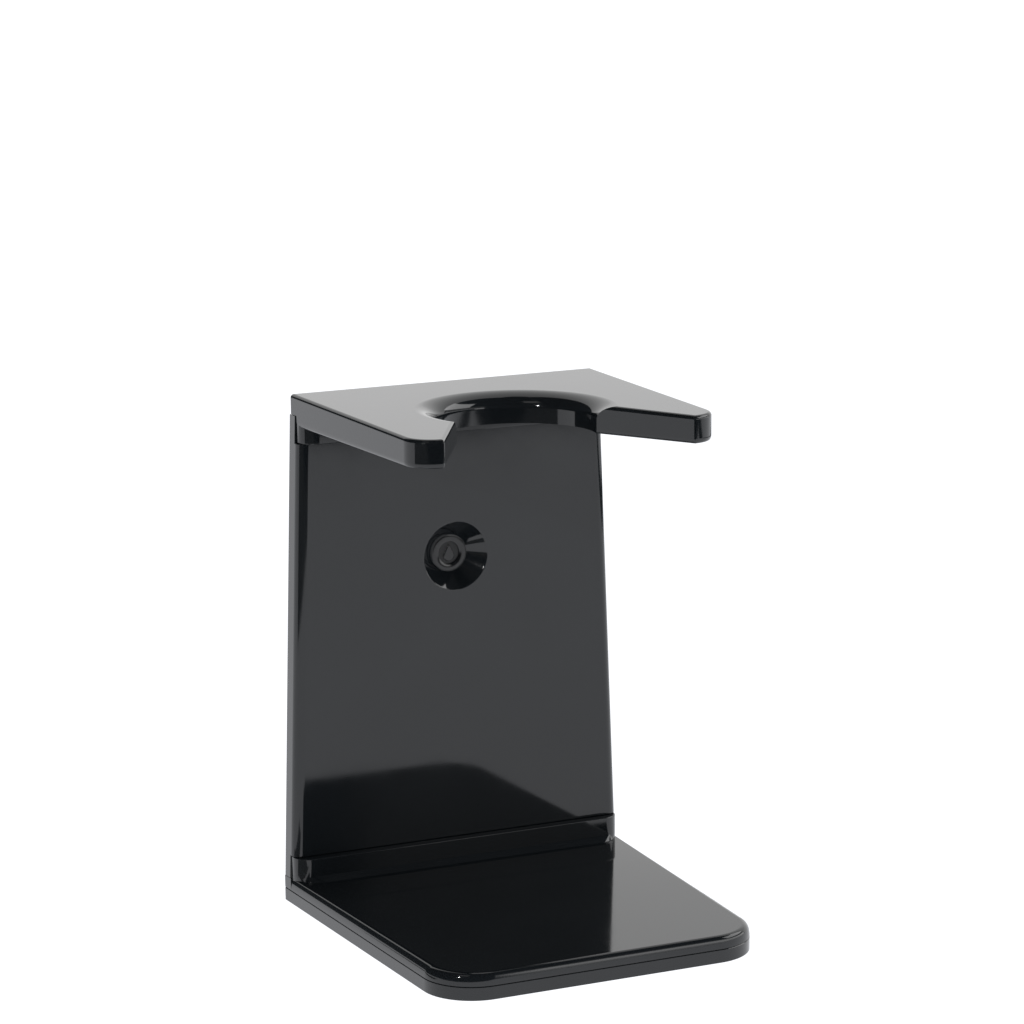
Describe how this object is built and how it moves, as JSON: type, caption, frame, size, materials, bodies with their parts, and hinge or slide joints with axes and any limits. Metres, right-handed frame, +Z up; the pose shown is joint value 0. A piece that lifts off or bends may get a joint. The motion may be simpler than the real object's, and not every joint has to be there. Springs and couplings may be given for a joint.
{
  "type": "razor stand",
  "caption": "Free-standing drip stand with a flat weighted base, a tapered upright panel and a forked cradle whose flared, open-fronted ring holds a shaving brush or razor.",
  "frame": {"origin": "centre of the footprint on the surface that the feet stand on", "axes": "+Z up, +Y from the open front of the cradle towards the back of the upright, +X to the right seen from the front"},
  "size_m": [0.0704, 0.072, 0.1006],
  "materials": {
    "black_gloss": "polished injection-moulded black plastic, mirror-like with a faint softness",
    "badge_gloss": "polished black plastic disc with a raised rim and drop",
    "ballast_steel": "plain rolled steel plate",
    "foot_rubber": "matt moulded rubber",
    "screw_steel": "black-passivated steel"
  },
  "bodies": {
    "root": {"base_shell": "black_gloss", "base_cover": "black_gloss", "upright_panel": "black_gloss", "cradle": "black_gloss", "badge": "badge_gloss", "ballast_plate": "ballast_steel", "foot_front_left": "foot_rubber", "foot_front_right": "foot_rubber", "foot_back_left": "foot_rubber", "foot_back_right": "foot_rubber", "cover_screw_front_left": "screw_steel", "cover_screw_front_right": "screw_steel", "cover_screw_back_left": "screw_steel", "cover_screw_back_right": "screw_steel", "cradle_screw_left": "screw_steel", "cradle_screw_right": "screw_steel", "base_screw_left": "screw_steel", "base_screw_right": "screw_steel"}
  },
  "joints": []
}
